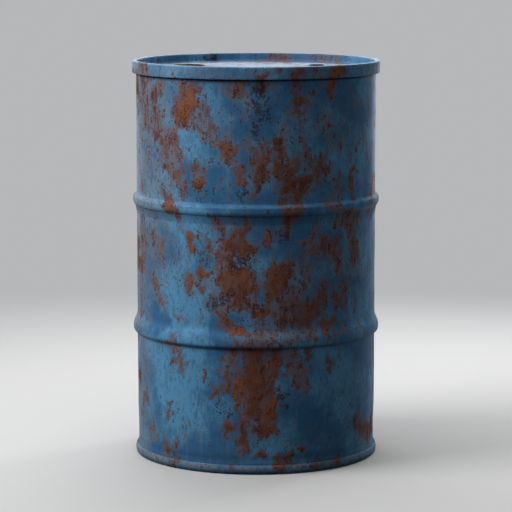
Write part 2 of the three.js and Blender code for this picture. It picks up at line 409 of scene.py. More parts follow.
# %% The bottom head
BOTTOM_RECESS = 18.0
PAN_Z = BOTTOM_RECESS + SHEET / 2
BEAD_MIDDLE, BEAD_TOP, BEAD_POINTS = 10.5, 20.5, 26
HEM_CLEAR = 0.1
foot_high = FOOT_Z + RIM_FILLET
round_bead = np.radians(np.linspace(-90, 84, BEAD_POINTS))
bead_half = np.where(round_bead < 0, BEAD_MIDDLE - FOOT_Z, BEAD_TOP - BEAD_MIDDLE)
bead_in = bottom(1) + RIM_FILLET
bead_reach = bead_in + (bottom(5) - bead_in) * np.cos(round_bead)
bead_height = BEAD_MIDDLE + bead_half * np.sin(round_bead)
on_shell = np.where(bead_height > BEAD_MIDDLE, SHELL_R + SHEET / 2 + HEM_CLEAR, 0)
bead = np.column_stack([np.maximum(bead_reach, on_shell), bead_height])
bottom_path = np.vstack(
    [
        [[0, PAN_Z]],
        run((0, PAN_Z), (bottom(1) - HEAD_CORNER, PAN_Z), PANEL_STEP),
        arc(bottom(1) - HEAD_CORNER, PAN_Z - HEAD_CORNER, HEAD_CORNER, 1, 0, 7),
        run((bottom(1), PAN_Z - HEAD_CORNER), (bottom(1), foot_high), BAND_STEP),
        arc(bottom(1) + RIM_FILLET, foot_high, RIM_FILLET, -2, -1, 7)[:-1],
        bead,
    ]
)
bottom_grid = spin(np.vstack([side(bottom_path, -SHEET / 2), side(bottom_path, SHEET / 2)[::-1]]))
bottom_mesh = closed_sheet("drum_bottom", bottom_grid)
join_at_axis(bottom_mesh)
drum_bottom = on_show("drum_bottom", bottom_mesh, "drum_paint", "bottom_head")

# %% [markdown]
# ## The bung flanges
# The two holes in the top are threaded steel rings, put in from below and curled over the panel
# from above. Their plugs are gone, so the threads show. A helix is only a lathe whose radius
# follows height and turn together, so the bore's rows are moved in and out by a rounded wave
# that climbs one pitch for each turn, and the eight-sided base is the same lathe with its
# radius stretched to the flats of an octagon.

# %% Thread and curl a flange
LIP_LOW = PANEL_TOP + NECK_CLEAR
LIP, LIP_REACH = 1.5, 2.6
LIP_HIGH = LIP_LOW + LIP
MOUTH_CHAMFER = 1.6
GASKET = 2.0
BASE_THICK, BASE_EDGE, NECK_BELOW = 4.0, 0.6, 8.0
BASE_HIGH = PANEL_TOP - SHEET - 2 * NECK_CLEAR - GASKET
BASE_LOW = BASE_HIGH - BASE_THICK
NECK_LOW = BASE_LOW - NECK_BELOW
FLANGE_COLUMNS = np.radians(np.arange(0, 360, 3))
THREAD_ROWS, THREAD_END, THREAD_FADE = 44, 2.2, 2


def flange(name, bung):
    """One flange's mesh, from the foot of its bore up the thread, over the lip and down outside."""
    neck, crest, depth = bung["neck"], bung["crest"], bung["depth"]
    root = crest + depth
    mouth = root + MOUTH_CHAMFER
    thread_low, thread_high = NECK_LOW + THREAD_END, LIP_HIGH - THREAD_END
    thread_heights = np.linspace(thread_low, thread_high, THREAD_ROWS)
    bore = np.column_stack([np.full(THREAD_ROWS, root), thread_heights])
    lip_middle = LIP_LOW + LIP / 2
    base_out = bung["across"] / 2
    outline = np.vstack(
        [
            [[mouth, NECK_LOW + 0.3]],
            bore,
            [[mouth - 0.2, LIP_HIGH - 0.5]],
            arc(mouth + 0.5, LIP_HIGH - 0.5, 0.5, 2, 1, 3),
            arc(neck + LIP_REACH - LIP / 2, lip_middle, LIP / 2, 1, -1, 8),
            [[neck, LIP_LOW], [neck, BASE_HIGH]],
            [[base_out - BASE_EDGE, BASE_HIGH], [base_out, BASE_HIGH - BASE_EDGE]],
            [[base_out, BASE_LOW + BASE_EDGE], [base_out - BASE_EDGE, BASE_LOW]],
            [[neck, BASE_LOW], [neck, NECK_LOW + 0.3]],
            arc(neck - 0.4, NECK_LOW + 0.4, 0.4, 0, -1, 2),
            [[mouth + 0.3, NECK_LOW]],
        ]
    )[::-1]
    grid = spin(outline, FLANGE_COLUMNS)
    reach = np.hypot(grid[:, :, 0], grid[:, :, 1]) / MM
    height = grid[:, :, 2] / MM
    wave = 0.5 + 0.5 * np.cos(2 * math.pi * height / bung["pitch"] - FLANGE_COLUMNS)
    run_out = eased(height, thread_low, thread_low + THREAD_FADE)
    run_out *= 1 - eased(height, thread_high - THREAD_FADE, thread_high)
    threaded = np.abs(reach - root) < 1e-6
    flat = (FLANGE_COLUMNS + math.pi / 8) % (math.pi / 4) - math.pi / 8
    new_reach = np.where(threaded, reach - depth * wave * run_out, reach)
    new_reach = np.where(reach > neck + LIP_REACH + 1, reach / np.cos(flat), new_reach)
    grid[:, :, :2] *= (new_reach / reach)[:, :, None]
    grid[:, :, 0] += bung["at"][0] * MM
    grid[:, :, 1] += bung["at"][1] * MM
    return closed_sheet(name, grid, FLANGE_COLUMNS)


large_mesh, small_mesh = flange("large_flange", LARGE_BUNG), flange("small_flange", SMALL_BUNG)
large_flange = on_show("large_flange", large_mesh, "rusted_steel", "large_bung_flange")
small_flange = on_show("small_flange", small_mesh, "rusted_steel", "small_bung_flange")

# %% [markdown]
# ## Where the drum has rusted
# Rust starts where the paint was knocked, creeps under it and runs down with the rain. A noise
# texture alone would spread it evenly, so the larger patches are drawn as trails, like
# strokes of a brush on the unrolled wall: each stroke has a strength and then points of degrees
# round from the front, height, and half width in millimetres. The material's noise then breaks
# every edge and adds the small islands between. Orange rust is fresh, brown rust is old, and
# bloom is the rose and mauve stipple of paint that rust is lifting from below.

# %% Fresh orange rust on the side towards the camera
ORANGE_TRAILS = [
    (0.9, (40, 906, 15), (38, 886, 12), (36, 856, 8)),
    (1.0, (-32, 846, 15), (-34, 826, 24), (-36, 810, 17)),
    (0.7, (-31, 884, 6), (-30, 866, 8)),
    (0.7, (-8, 872, 10), (-5, 863, 11)),
    (0.32, (-41, 756, 7), (-45, 735, 11), (-47, 708, 12), (-45, 680, 9)),
    (0.36, (-54, 836, 15), (-51, 806, 13)),
    (0.38, (-25, 822, 7), (-22, 800, 9), (-19, 766, 7)),
    (0.5, (-28, 780, 8), (-25, 765, 7)),
    (0.8, (-16, 744, 9), (-13, 734, 9), (-12, 706, 7)),
    (0.65, (-9, 692, 6), (-7, 662, 7)),
    (0.75, (2, 722, 9), (3, 708, 10)),
    (0.7, (-30, 692, 8), (-28, 684, 7)),
    (0.65, (-38, 682, 6), (-37, 652, 8), (-36, 624, 7)),
    (0.8, (-27, 660, 5), (-27, 648, 5)),
    (0.8, (52, 672, 7), (51, 648, 8), (52, 620, 7)),
    (0.9, (-43, 600, 11)),
    (0.9, (-17, 566, 13), (-16, 553, 10)),
    (0.9, (-32, 534, 9), (-31, 506, 8)),
    (0.6, (-28, 536, 5), (-23, 530, 5), (-21, 508, 5)),
    (0.9, (5, 544, 7), (6, 512, 6)),
    (0.9, (-27, 453, 10), (-24, 450, 7)),
    (0.65, (-33, 442, 8), (-33, 414, 6)),
    (0.9, (-17, 446, 10), (-14, 434, 11), (-15, 414, 9)),
    (1.0, (8, 468, 10), (10, 448, 16), (8, 412, 15)),
    (0.6, (34, 432, 6), (32, 404, 8), (31, 362, 7)),
    (0.7, (46, 405, 13), (43, 391, 15)),
    (0.9, (3, 366, 7), (2, 352, 8)),
    (0.9, (-16, 352, 8), (-12, 336, 9), (-7, 322, 10)),
    (0.9, (39, 342, 10), (33, 331, 9)),
    (0.6, (-40, 310, 11)),
    (0.65, (-40, 252, 9), (-39, 240, 8)),
    (0.8, (-34, 241, 6)),
    (0.8, (-25, 232, 5), (-24, 208, 6)),
    (0.9, (25, 272, 7)),
    (0.8, (36, 256, 6), (38, 236, 7)),
    (1.0, (-8, 206, 9), (-8, 148, 7), (-6, 112, 6)),
    (1.0, (9, 262, 8), (8, 224, 10), (6, 176, 11), (6, 92, 9)),
    (0.8, (-13, 114, 7), (-13, 84, 6)),
    (0.8, (-45, 142, 4), (-45, 116, 5)),
    (0.9, (-5, 82, 9), (-4, 58, 10)),
    (0.9, (16, 40, 8), (10, 28, 9)),
    (0.6, (-42, 64, 5), (-42, 40, 7)),
    (0.6, (-49, 46, 8)),
    (0.3, (49, 98, 5), (56, 95, 8)),
    (0.8, (29, 14, 12)),
    (0.8, (41, 15, 12)),
    (0.8, (-11, 12, 7)),
    (0.6, (-41, 17, 12)),
]

# %% Old brown rust on the same side
BROWN_TRAILS = [
    (0.8, (10, 912, 8)),
    (0.8, (5, 900, 5), (2, 886, 9), (2, 872, 8)),
    (0.7, (19, 908, 8), (19, 878, 9)),
    (0.9, (18, 856, 8), (20, 832, 12), (21, 814, 9)),
    (0.7, (27, 862, 6), (27, 846, 6)),
    (0.8, (-54, 753, 7), (-52, 748, 5)),
    (0.55, (23, 726, 14), (24, 704, 12), (19, 697, 8)),
    (0.8, (10, 692, 9), (14, 686, 9)),
    (0.6, (32, 704, 10), (33, 686, 13), (29, 664, 9)),
    (0.8, (3, 684, 9), (2, 666, 10), (0, 636, 7)),
    (0.65, (9, 752, 9), (11, 724, 10), (9, 702, 7)),
    (0.9, (13, 668, 9), (16, 650, 18), (21, 656, 16), (20, 632, 13), (13, 624, 14)),
    (0.35, (41, 652, 14), (43, 628, 13)),
    (0.7, (13, 600, 14), (18, 590, 11)),
    (0.7, (-8, 562, 7)),
    (0.7, (16, 562, 8), (13, 548, 6)),
    (1.0, (-14, 522, 11), (-9, 512, 17), (-3, 512, 15)),
    (0.9, (-11, 496, 11), (-12, 476, 8)),
    (0.4, (22, 512, 6), (21, 470, 7), (22, 446, 6)),
    (0.35, (34, 516, 13), (37, 504, 14)),
    (0.55, (43, 484, 9), (41, 466, 7)),
    (0.45, (41, 524, 9), (44, 508, 8)),
    (0.1, (53, 548, 13), (54, 512, 15), (53, 466, 15)),
    (1.0, (-9, 470, 10), (-6, 448, 17), (-5, 416, 16), (-7, 396, 9)),
    (1.0, (13, 466, 12), (13, 430, 12)),
    (0.9, (-25, 414, 6)),
    (0.7, (19, 382, 15), (26, 368, 18), (22, 352, 15)),
    (0.7, (9, 346, 10), (20, 344, 16)),
    (0.7, (3, 330, 11), (10, 327, 12)),
    (0.8, (-10, 284, 13), (0, 278, 24), (9, 282, 14)),
    (0.85, (-1, 262, 29), (-1, 216, 31)),
    (0.9, (-12, 444, 20), (-10, 400, 18)),
    (0.35, (14, 388, 16), (30, 370, 18)),
    (0.65, (28, 352, 18), (18, 342, 18)),
    (0.8, (-4, 560, 14), (-6, 540, 15)),
    (1.0, (-1, 212, 31), (-1, 172, 28), (1, 132, 22), (3, 96, 14)),
    (0.8, (-14, 226, 8), (-13, 192, 7)),
    (0.8, (-19, 192, 8), (-22, 172, 6)),
    (1.0, (-6, 100, 12), (-6, 72, 10)),
    (0.8, (2, 54, 8), (1, 40, 8)),
    (0.8, (23, 56, 8)),
    (0.6, (-56, 62, 8)),
    (0.6, (12, 168, 8)),
    (0.8, (12, 20, 12)),
]

# %% Bloom, and pits through the paint
BLOOM_TRAILS = [
    (0.25, (-80, 760, 120), (80, 760, 120)),
    (0.24, (-80, 440, 90), (80, 440, 90)),
    (0.8, (-66, 908, 22), (-60, 896, 26)),
    (0.9, (-68, 870, 32), (-66, 826, 32), (-64, 780, 24)),
    (0.8, (-52, 868, 18), (-56, 840, 26)),
    (0.65, (-58, 812, 26), (-50, 776, 26), (-46, 730, 24), (-43, 660, 22)),
    (0.6, (-40, 880, 16), (-33, 870, 14)),
    (0.55, (-28, 812, 14), (-24, 770, 16), (-20, 744, 12)),
    (0.6, (29, 898, 14)),
    (0.6, (-42, 806, 18), (-37, 780, 14)),
    (0.75, (-44, 772, 17), (-38, 705, 17)),
    (0.7, (-60, 800, 20), (-56, 764, 20)),
    (0.5, (-50, 644, 18), (-46, 612, 14)),
    (0.8, (36, 610, 16), (48, 574, 16)),
    (0.6, (-16, 870, 14), (-10, 850, 12)),
    (0.7, (34, 790, 18), (36, 756, 20), (42, 730, 14)),
    (0.6, (-30, 676, 14), (-27, 640, 16)),
    (0.7, (14, 780, 12), (10, 742, 14)),
    (0.7, (28, 690, 18), (24, 660, 14)),
    (0.7, (-68, 626, 18)),
    (0.9, (42, 564, 18), (56, 560, 22)),
    (0.9, (51, 530, 20), (54, 474, 20)),
    (0.9, (34, 520, 18), (40, 496, 19), (42, 450, 15)),
    (0.8, (-58, 526, 18), (-52, 500, 20), (-50, 470, 16)),
    (0.8, (-58, 446, 14), (-56, 404, 16), (-52, 376, 14)),
    (0.75, (-70, 550, 20), (-68, 450, 22)),
    (0.3, (-72, 300, 20), (-70, 240, 18)),
    (0.7, (-73, 400, 20), (-72, 340, 20)),
    (0.9, (28, 548, 13), (24, 520, 15), (30, 500, 13)),
    (0.65, (22, 470, 15), (26, 440, 16), (20, 412, 16)),
    (0.6, (-18, 500, 10), (-16, 476, 12), (-20, 462, 10)),
    (0.6, (-18, 400, 16), (-24, 384, 14), (-14, 372, 16)),
    (0.7, (-2, 380, 22), (8, 372, 20), (16, 360, 20)),
    (0.7, (-40, 350, 10), (-37, 340, 10)),
    (0.45, (-3, 318, 14), (8, 314, 10)),
    (0.4, (16, 308, 18), (28, 314, 12)),
    (0.6, (40, 312, 15), (46, 318, 12)),
    (1.0, (16, 264, 18), (20, 228, 23), (22, 194, 18)),
    (0.6, (-12, 262, 12), (-16, 236, 10)),
    (0.7, (-44, 286, 12), (-38, 270, 12)),
    (0.7, (-66, 150, 18), (-70, 106, 22)),
    (0.85, (56, 90, 20), (64, 72, 26), (72, 52, 24)),
    (0.5, (-48, 32, 14)),
    (0.5, (-62, 84, 14), (-58, 50, 16)),
    (0.7, (-40, 590, 14), (-37, 548, 14)),
    (0.3, (56, 350, 16), (58, 310, 14)),
]
PITTED_TRAILS = [
    (1.0, (2, 864, 18), (4, 820, 28), (0, 776, 20)),
    (0.8, (-8, 630, 14), (-2, 622, 14)),
    (0.7, (-30, 640, 20), (-20, 626, 16)),
    (0.9, (-27, 506, 12), (-24, 484, 12)),
    (0.9, (14, 556, 10), (13, 524, 12)),
    (0.8, (-12, 478, 12), (-4, 486, 10)),
    (0.8, (-14, 398, 14), (-22, 382, 12)),
    (0.8, (3, 384, 12), (-6, 358, 12)),
    (0.9, (-16, 156, 14), (-19, 134, 14), (-11, 146, 8)),
    (0.8, (12, 184, 10), (14, 160, 8)),
    (0.7, (-22, 64, 16)),
    (0.7, (17, 745, 7)),
    (0.7, (38, 786, 8)),
]
print(f"{len(ORANGE_TRAILS)} orange, {len(BROWN_TRAILS)} brown, {len(BLOOM_TRAILS)} bloom trails")

# %% Paint that has faded, paint that has kept its depth, and painted shade above the foot
FADED_TRAILS = [
    (1.0, (-33, 790, 18), (-32, 750, 28), (-31, 716, 22)),
    (0.8, (-40, 566, 30), (-36, 520, 28), (-40, 440, 34)),
    (1.0, (-44, 420, 26), (-36, 380, 40), (-28, 350, 36)),
    (1.0, (-52, 250, 44), (-42, 200, 60), (-36, 130, 52)),
    (0.7, (46, 545, 14), (47, 490, 14)),
    (0.6, (-22, 852, 26), (-16, 806, 22)),
    (0.4, (32, 820, 40), (44, 760, 40)),
    (0.5, (58, 450, 40), (60, 300, 40)),
    (0.9, (-50, 300, 16), (-32, 296, 17), (-20, 296, 12)),
    (0.8, (-46, 268, 16), (-26, 266, 14)),
    (0.7, (-50, 596, 14), (-24, 592, 14)),
]
# The second and fifth trails, just above the foot, darken the paint as painted shade where the wall
# is drawn in; the others are paint that kept its depth.
DEEP_AND_SHADED_TRAILS = [
    (0.7, (4, 850, 34), (2, 800, 44), (-2, 762, 26)),
    (0.9, (-58, 34, 14), (-30, 42, 16), (-14, 44, 16)),
    (0.8, (-56, 346, 24), (-46, 338, 14)),
    (0.9, (14, 150, 30), (22, 100, 50), (40, 60, 40)),
    (0.9, (12, 34, 13), (44, 32, 13)),
    (0.4, (-18, 640, 26), (0, 630, 22)),
    (0.6, (30, 460, 30), (16, 530, 20)),
]
print(f"{len(FADED_TRAILS)} faded and {len(DEEP_AND_SHADED_TRAILS)} deep trails")

# %% Rust on the sides that the camera doesn't see
unseen = np.random.default_rng(55)


def unseen_trails(count, low, high, widest):
    """Trails that run mostly down the wall, like those on the front, for the sides and the back."""
    trails = []
    for _ in range(count):
        turn, up = unseen.uniform(76, 284), unseen.uniform(low, high)
        points = []
        for _ in range(unseen.integers(1, 5)):
            points.append((turn, up, unseen.uniform(0.4, 1.0) * widest))
            turn += unseen.normal(0, 3.5)
            up -= unseen.uniform(8, 40)
        trails.append((unseen.uniform(0.6, 1.0), *points))
    return trails


ORANGE_TRAILS += unseen_trails(60, 20, 910, 15)
BROWN_TRAILS += unseen_trails(52, 10, 905, 24)
BLOOM_TRAILS += unseen_trails(40, 60, 910, 26)
PITTED_TRAILS += unseen_trails(16, 80, 880, 20)
FADED_TRAILS += unseen_trails(9, 200, 860, 60)
DEEP_AND_SHADED_TRAILS += unseen_trails(9, 120, 860, 50)
print(len(ORANGE_TRAILS + BROWN_TRAILS), "rust trails all round")


# %% Lay the trails on the sheets
def wander(turn, height, across):
    """Ragged shifts of a few millimetres that keep a trail's edge from being smooth."""
    arc_length = turn * SHELL_R
    shift = np.zeros_like(turn)
    for wave, (lean, size) in enumerate([(0.3, 47), (1.2, 31), (2.1, 23), (2.8, 17), (0.9, 13)]):
        along = arc_length * math.cos(lean + across) + height * math.sin(lean + across)
        shift += size * 0.11 * np.sin(2 * math.pi * along / size + 1.7 * wave + 5 * across)
    return shift


def laid(turn, height, trails, inner, outer):
    """How strongly the nearest trail acts at each point, fading between two of its half widths."""
    depth = np.zeros_like(turn)
    sideways, upwards = wander(turn, height, 0.0), wander(turn, height, 1.4)
    for strength, *points in trails:
        for start, stop in zip(points, points[1:] or points):
            across = arc_from(turn, start[0], SHELL_R) + sideways
            up = height - start[1] + upwards
            run_across, run_up = SHELL_R * math.radians(stop[0] - start[0]), stop[1] - start[1]
            length = run_across**2 + run_up**2 + 1e-9
            along = np.clip((across * run_across + up * run_up) / length, 0, 1)
            far = np.hypot(across - along * run_across, up - along * run_up)
            far /= start[2] + along * (stop[2] - start[2])
            depth = np.maximum(depth, strength * (1 - eased(far, inner, outer)))
    return depth


def places(mesh):
    """Turn, distance from the axis and height of a mesh's points, lengths in millimetres."""
    points = np.empty(len(mesh.vertices) * 3)
    mesh.vertices.foreach_get("co", points)
    x, y, z = points.reshape(-1, 3).T / MM
    return np.arctan2(x, -y), np.hypot(x, y), z


def note(mesh, **fields):
    """Keeps a value for each point of a mesh, for its material to read."""
    for name, values in fields.items():
        field = mesh.attributes.new(name, "FLOAT", "POINT")
        field.data.foreach_set("value", values.astype(np.float32))


# From how many half widths to how many a trail fades out.
RUST_EDGE, STAIN_EDGE, BLOOM_EDGE, TONE_EDGE = (0.1, 2.1), (0.8, 3.2), (0.3, 1.5), (0.2, 1.6)


def weathering(turn, height):
    """All the fields that the paint reads, for points on the outside of the drum."""
    fresh = laid(turn, height, ORANGE_TRAILS, *RUST_EDGE)
    old = laid(turn, height, BROWN_TRAILS, *RUST_EDGE)
    faded = laid(turn, height, FADED_TRAILS, *TONE_EDGE)
    deep_and_shaded = laid(turn, height, DEEP_AND_SHADED_TRAILS, *TONE_EDGE)
    return {
        "rust": np.maximum(fresh, old),
        "fresh": fresh / np.maximum(fresh + old, 0.05),
        "stain": laid(turn, height, ORANGE_TRAILS + BROWN_TRAILS, *STAIN_EDGE),
        "bloom": laid(turn, height, BLOOM_TRAILS, *BLOOM_EDGE),
        "pitted": laid(turn, height, PITTED_TRAILS, *BLOOM_EDGE),
        "tone": faded - deep_and_shaded,
    }


# %% Chalk and painted shade on the shell
# Sun has chalked the left side most, and the back in slow waves.
turn, _, height = places(shell.data)
degrees = np.degrees(turn)
left_side = eased(-degrees, 36, 60)
chalked = np.maximum(left_side * eased(height, 360, 560), 0.75 * eased(-degrees, 54, 70))
chalked *= degrees > -100
waves = eased(np.cos(turn * 2 + height / 260), 0.3, 0.95)
chalked = np.maximum(chalked, waves * (np.abs(turn) > 1.6))
# Height of a line of painted shade (under the top band, above the foot, under each hoop),
# its reach up and down, and its strength.
PAINTED_SHADE_LINES = [(HEIGHT - TOP_BAND, 7, 1.0), (30, 22, 0.3)]
PAINTED_SHADE_LINES += [(hoop["z"] - hoop["below"] + 3, 5, 0.42) for hoop in HOOPS]
painted_shade = np.zeros_like(turn)
for at, reach_up, strength in PAINTED_SHADE_LINES:
    painted_shade = np.maximum(painted_shade, strength * (1 - eased(np.abs(height - at) / reach_up, 0.15, 1.0)))
note(shell.data, chalk=chalked, grime=painted_shade, **weathering(turn, height))
print(f"{len(turn)} points of the shell weathered")

# %% Rust on the heads
PANEL_RUST = [  # x, y, radius and strength on the panel, round the bungs and where water stood
    (-122, 58, 22, 0.62),
    (-190, 104, 30, 0.55),
    (118, 100, 18, 0.58),
    (170, 66, 26, 0.55),
    (-84, -132, 58, 0.5),
    (-36, -104, 26, 0.62),
    (52, -196, 52, 0.58),
    (176, -104, 30, 0.6),
    (-206, -46, 40, 0.52),
    (44, 208, 62, 0.52),
    (-104, 186, 24, 0.55),
    (216, 12, 22, 0.6),
]
CHUCK_BLOOM = [
    (0.5, (134, 905, 14), (146, 906, 9)),
    (0.6, (153, 907, 8)),
    (0.5, (163, 905, 12), (172, 906, 9)),
]
CHUCK_SMUDGE = [(0.9, (202, 907, 7), (205, 906, 6))]
CHUCK_EDGE = (0.3, 1.7)
CHUCK_FROM = 262  # radius from which a head's chuck wall counts
WATER_FROM, WATER_FULL, WATER_END, WATER_RUST = 228, 256, 264, 0.36
# Height and reach of the lighter line along the top of the bottom bead, worn paint and painted
# highlight together.
WORN_HIGHLIGHT_HEIGHT, WORN_HIGHLIGHT_REACH = 15, 4.5
TOP_BAND_FROM, BOTTOM_BAND_FROM = 279, 277.2


def panel_depth(turn, reach, patches, grow):
    """How strongly a patch acts on a head's panel, where places are in plan."""
    x, y = reach * np.sin(turn), -reach * np.cos(turn)
    x, y = x + 2.2 * wander(x / SHELL_R, y, 0.0), y + 2.2 * wander(x / SHELL_R, y, 1.4)
    depth = np.zeros_like(x)
    for at_x, at_y, size, strength in patches:
        far = np.hypot(x - at_x, y - at_y) / (size * grow)
        depth = np.maximum(depth, strength * (1 - eased(far, 0.4, 1.3)))
    return depth


def weather_head(mesh, panel_rust, wall_bloom, wall_smudge, band_reach):
    """Notes the fields of a head: its chime from outside, its chuck wall and its panel."""
    turn, reach, height = places(mesh)
    outside = reach > band_reach
    standing_water = eased(reach, WATER_FROM, WATER_FULL) * (reach < WATER_END) * WATER_RUST
    on_wall = reach > CHUCK_FROM
    bloom = np.maximum(laid(turn, height, wall_bloom, *CHUCK_EDGE) * on_wall, 0.05)
    smudge = laid(turn, height, wall_smudge, *CHUCK_EDGE) * on_wall * ~outside
    plan = np.maximum(panel_depth(turn, reach, panel_rust, 1.0), standing_water)
    wide = np.maximum(panel_depth(turn, reach, panel_rust, 1.8), standing_water)
    inside = {"rust": plan, "fresh": 0.35, "stain": wide, "bloom": bloom, "pitted": 0.1}
    inside["tone"] = 0.2 - 0.8 * on_wall
    fields = weathering(turn, height)
    for name, value in inside.items():
        fields[name] = np.where(outside, fields[name], value)
    degrees = np.degrees(turn)
    # The chimes are lighter as chalk on the left, as painted highlight at both sides, and along the
    # top of the bottom bead as worn paint with painted highlight. Painted shade darkens the bottom
    # bead towards the floor.
    chalk_wear_and_highlight = 0.25 + 0.9 * np.exp(-(((height - WORN_HIGHLIGHT_HEIGHT) / WORN_HIGHLIGHT_REACH) ** 2))
    chalk_wear_and_highlight += 0.4 * eased(np.abs(degrees), 52, 74) + 0.35 * eased(-degrees, 5, 45)
    floor_shade = 0.12 * (1 - eased(height, 20, 30)) + 0.6 * (1 - eased(height, 1, 12))
    floor_shade *= outside
    chalk = np.where(outside, chalk_wear_and_highlight, 1.0 - 0.8 * on_wall)
    note(mesh, chalk=chalk, grime=np.maximum(smudge, floor_shade), **fields)


weather_head(drum_top.data, PANEL_RUST, CHUCK_BLOOM, CHUCK_SMUDGE, TOP_BAND_FROM)
BOTTOM_RUST = [(-y, x, size * 1.5, strength + 0.15) for x, y, size, strength in PANEL_RUST]
weather_head(drum_bottom.data, BOTTOM_RUST, [], [], BOTTOM_BAND_FROM)
print("heads weathered")

# %% [markdown]
# ## Mixing a material in Python
# A material here is sums and masks of noise. Wiring them by hand in the node editor is slow to
# read back, so one small class lets a node's output be added and multiplied like a number, and
# a recipe makes every node. Colours are written as they look on a paint card, from 0 to 255,
# and turned into the light values that Blender mixes.

# %% Sums of sockets
class Shade:
    """A node's output that can be added, taken away and multiplied."""

    def __init__(self, recipe, socket):
        self.recipe = recipe
        self.socket = socket

    def maths(self, operation, first, second):
        """Adds a Math node; sums and products read the same from either side."""
        return self.recipe.node("Math", {"operation": operation}, {0: first, 1: second})

    def __add__(self, other):
        return self.maths("ADD", self, other)

    def __sub__(self, other):
        return self.maths("SUBTRACT", self, other)

    def __rsub__(self, other):
        return self.maths("SUBTRACT", other, self)

    def __mul__(self, other):
        return self.maths("MULTIPLY", self, other)

    __radd__, __rmul__ = __add__, __mul__


# %% A recipe that makes nodes
def card(red, green, blue):
    """A paint card's colour as light values."""
    light = []
    for part in (red / 255, green / 255, blue / 255):
        light.append(part / 12.92 if part <= 0.04045 else ((part + 0.055) / 1.055) ** 2.4)
    return (*light, 1.0)


class Recipe:
    """A material being mixed."""

    def __init__(self, name):
        self.material = bpy.data.materials.new(name)
        self.material.use_nodes = True
        self.tree = self.material.node_tree
        self.tree.nodes.clear()

    def node(self, kind, settings=None, sockets=None, output=0):
        """Adds a node: its settings first, then the values or links of its sockets."""
        made = self.tree.nodes.new("ShaderNode" + kind)
        for name, value in (settings or {}).items():
            if name == "stops":
                self.set_stops(made.color_ramp, value)
            else:
                setattr(made, name, value)
        for name, value in (sockets or {}).items():
            if isinstance(value, Shade):
                self.tree.links.new(value.socket, made.inputs[name])
            else:
                made.inputs[name].default_value = value
        return Shade(self, made.outputs[output]) if made.outputs else None

    def set_stops(self, ramp, stops):
        while len(ramp.elements) < len(stops):
            ramp.elements.new(1.0)
        for element, (position, colour) in zip(ramp.elements, stops):
            element.position = position
            element.color = colour

    def noise(self, place, scale, detail, roughness=0.5):
        sockets = {"Vector": place, "Scale": scale, "Detail": detail, "Roughness": roughness}
        return self.node("TexNoise", None, sockets)

    def between(self, value, low, high):
        """0 where the value is below low, 1 above high, smooth between."""
        sockets = {"Value": value, "From Min": low, "From Max": high}
        return self.node("MapRange", {"interpolation_type": "SMOOTHSTEP"}, sockets)

    def blend(self, mask, under, over):
        """One colour over another, as much as the mask says."""
        return self.node("Mix", {"data_type": "RGBA"}, {0: mask, 6: under, 7: over}, output=2)

    def stretched(self, place, x, y, z):
        return self.node("VectorMath", {"operation": "MULTIPLY"}, {0: place, 1: (x, y, z)})

    def bump(self, height, strength, distance):
        sockets = {"Height": height, "Strength": strength, "Distance": distance}
        return self.node("Bump", None, sockets)

    def finish(self, sockets):
        shader = self.node("BsdfPrincipled", None, sockets)
        self.node("OutputMaterial", None, {"Surface": shader})
        print(f"{self.material.name}: {len(self.tree.nodes)} nodes")
        return self.material


# %% [markdown]
# ## Blue paint going to rust
# The paint is a thin enamel, dull by now. Sun has bleached it in clouds, and rain has run down it
# in fine streaks. Around the rust it dulls to teal, then goes rose in a fine stipple, brown in a
# film and mauve in flecks before it lifts. The rust itself is matt and grainy, orange where it is
# fresh and dark brown where it is old. One mask, made from the trails and three sizes of noise,
# decides what is eaten, and it drives colour, roughness and relief, so that they always agree.

# %% The drum's paint and rust
DEEP_BLUE, SKY_BLUE = card(50, 100, 140), card(84, 142, 180)
TEAL_BLUE, SLATE_BLUE = card(60, 118, 142), card(58, 84, 118)
PALE_GREY, ROSE, DULL_TEAL = card(126, 130, 132), card(122, 94, 92), card(88, 114, 126)
MAUVE, MAROON = card(70, 60, 74), card(62, 36, 32)
DIRT_AND_SHADE_DARK, PIT_BLACK, BROWN_FILM = card(22, 22, 26), card(18, 22, 34), card(102, 70, 60)
OLD_STOPS = [
    (0.32, card(52, 35, 32)),
    (0.44, card(90, 54, 40)),
    (0.56, card(116, 72, 50)),
    (0.72, card(136, 96, 80)),
]
FRESH_STOPS = [
    (0.32, card(76, 46, 36)),
    (0.44, card(118, 72, 50)),
    (0.56, card(142, 88, 60)),
    (0.72, card(168, 114, 84)),
]


